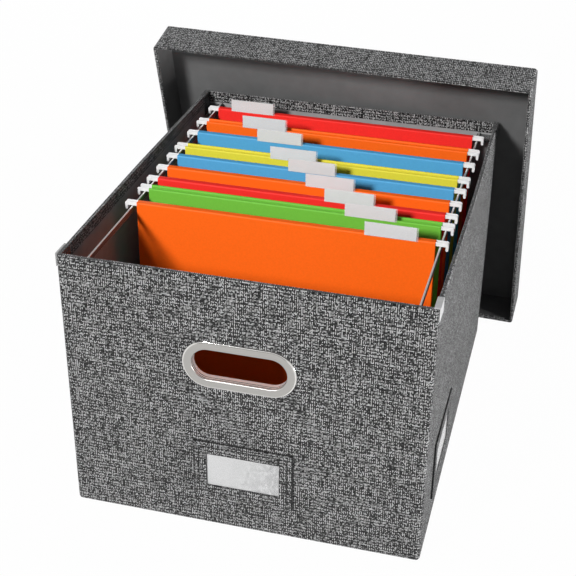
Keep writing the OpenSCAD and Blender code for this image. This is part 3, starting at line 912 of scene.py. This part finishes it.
# ---------------------------------------------------------------------------------------------
# Clips: moulded plastic, one astride each end of a side wall, with a cradle for the rail. The one
# at the front right is light plastic; the other three get a dark, see-through copy as painted shade.
# ---------------------------------------------------------------------------------------------
CLIP_GREYS = ((0.3, 0.46), (0.7, 0.51))
SHADED_CLIP_GREYS = ((0.3, 0.14), (0.7, 0.18))
CLIP_GRAIN = (1600.0, 0.08, 0.2 * MM)
CLIP_ROUND = 0.3 * MM

clip_plastic = mottled("clip_plastic", CLIP_GREYS, 180.0, grain=CLIP_GRAIN, Roughness=0.38)
shaded_clip_plastic = mottled("shaded_clip_plastic", SHADED_CLIP_GREYS, 180.0, grain=CLIP_GRAIN,
                         Roughness=0.3, Alpha=0.45)
for corner in ("front_left", "front_right", "back_left", "back_right"):
    made = solid_copy(f"clip_{corner}")
    round_edges(made, CLIP_ROUND, segments=2)
    # painted shade: all but the front right clip take the dark see-through copy
    plastic = clip_plastic if corner == "front_right" else shaded_clip_plastic
    piece(f"{corner}_clip", made, plastic, "box", [f"clip_{corner}"])

# ---------------------------------------------------------------------------------------------
# Folders: dyed card, folded over a flat steel bar at each top edge. The bars are coated white
# and hook over the rails; each folder has a clear tab with a white insert.
# ---------------------------------------------------------------------------------------------
FOLDER_COLOURS = {
    "red": (0.89, 0.022, 0.016),
    "orange": (0.98, 0.131, 0.002),
    "blue": (0.085, 0.37, 0.66),
    "yellow": (0.74, 0.66, 0.045),
    "green": (0.155, 0.50, 0.045),
}
FOLDER_ROW = ("red", "orange", "blue", "yellow", "blue", "orange", "red", "green", "orange")
BAR_GREYS = ((0.3, 0.76), (0.7, 0.83))
TAB_GREYS = ((0.3, 0.86), (0.7, 0.94))
SLEEVE_T = 3.0 * MM
SLEEVE_H = 12 * MM
SLEEVE_ROUND = 1.3 * MM
SHUT_MOUTH = 1 * MM
SHUT_GAP = 0.04 * MM
BAR_ROUND = 0.25 * MM
TAB_ROUND = 0.25 * MM
INSERT_ROUND = 0.1 * MM
TAB_CLEAR_LEFT = 0.5 * MM
TAB_CLEAR_RIGHT = 1.9 * MM
TAB_SKIN = 0.25 * MM


def dyed_card(colour):
    """Folder card: an even dye with faint fibres."""
    base = FOLDER_COLOURS[colour]
    darker = tuple(value * 0.94 for value in base)
    return mottled("card_" + colour, ((0.3, darker), (0.7, base)), 500.0, 4.0,
                   (2500.0, 0.06, 0.3 * MM), Roughness=0.6, Specular_IOR_Level=0.28)


card_finishes = {colour: dyed_card(colour) for colour in FOLDER_COLOURS}
bar_paint = mottled("bar_coating", BAR_GREYS, 300.0, 3.0, (1800.0, 0.05, 0.1 * MM), Roughness=0.35)
tab_plastic = mottled("tab_plastic", TAB_GREYS, 120.0, Roughness=0.08, Alpha=0.16)
insert_card = white_card("insert_card", 0.64)

for count, colour in enumerate(FOLDER_ROW, start=1):
    name = f"folder_{count}"
    body = f"hanging_{name}"
    made = solid_copy(name)
    low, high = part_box(name)
    middle_y = (low.y + high.y) / 2
    mouth = (high.y - low.y) / 2 - SLEEVE_T
    sleeve_middle = mouth + SLEEVE_T / 2
    top_z = high.z - CLOSE
    sleeve_z = top_z - SLEEVE_H
    if mouth < SHUT_MOUTH:
        # the two sleeves of a shut folder are drawn together, and only their outer edges are round
        for vert in made.verts:
            if abs(vert.co.y - middle_y) < mouth + CLOSE and vert.co.z > sleeve_z:
                vert.co.y = middle_y + math.copysign(SHUT_GAP / 2, vert.co.y - middle_y)
        round_edges(made, SLEEVE_ROUND, lambda at, _: at.z > top_z and abs(at.y - middle_y) > sleeve_middle)
    else:
        round_edges(made, SLEEVE_ROUND, lambda at, along: at.z > top_z and abs(along.x) > 0.9)
    piece(name + "_sheet", made, card_finishes[colour], body, [name])

    made = solid_copy(name + "_bars")
    round_edges(made, BAR_ROUND, segments=2)
    piece(name + "_hooks", made, bar_paint, body, [name + "_bars"])

    made = solid_copy(name + "_tab")
    round_edges(made, TAB_ROUND, segments=2)
    piece(name + "_holder", made, tab_plastic, body, [name + "_tab"])
    low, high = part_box(name + "_tab")
    low += Vector((TAB_CLEAR_LEFT, TAB_SKIN, TAB_SKIN))
    high -= Vector((TAB_CLEAR_RIGHT, TAB_SKIN, TAB_SKIN))
    made = bmesh.new()
    size = Matrix.Diagonal((*(high - low), 1))
    bmesh.ops.create_cube(made, size=1, matrix=Matrix.Translation((low + high) / 2) @ size)
    round_edges(made, INSERT_ROUND, segments=2)
    piece(name + "_insert", made, insert_card, body)

# ---------------------------------------------------------------------------------------------
# Lid: the same cloth over its own boards, leaning forward on the box's rear edge and turned a
# little. Its cloth is turned in over the skirt's rim, with the lining below.
# ---------------------------------------------------------------------------------------------
LID_LEAN = math.radians(14.9)
LID_TURN = math.radians(2.3)
LID_ROUND = 1.6 * MM
LID_REACH_X = 215 * MM
LID_REACH_Y = 20 * MM

lid_upright = Matrix.Rotation(-LID_LEAN, 3, "X") @ Matrix.Rotation(LID_TURN, 3, "Z")
made = solid_copy("lid_cover")
upright = [lid_upright @ vert.co for vert in made.verts]
lid_low = [min(co[axis] for co in upright) for axis in range(3)]
lid_high = [max(co[axis] for co in upright) for axis in range(3)]


def on_lid_outside(middle, _direction):
    """Picks the edges where two outer faces of the lid meet."""
    at = lid_upright @ middle
    sides = sum(min(at[k] - lid_low[k], lid_high[k] - at[k]) < CLOSE for k in range(3))
    return sides >= 2


def lid_rim_depth(co):
    """A rim point's distance in from the skirt's outside, or 0 off the rim."""
    at = lid_upright @ co
    depth = min(min(at[k] - lid_low[k], lid_high[k] - at[k]) for k in (0, 2))
    return depth if at.y < lid_low[1] + RIM_FLAT else 0


round_edges(made, LID_ROUND, on_lid_outside)
store_rim_depth(made, lid_rim_depth)
cloth_uv(made, lid_upright, LID_REACH_X, LID_REACH_Y)
piece("lid_cloth", made, (linen, rim_linen), "lid", ["lid_cover"])
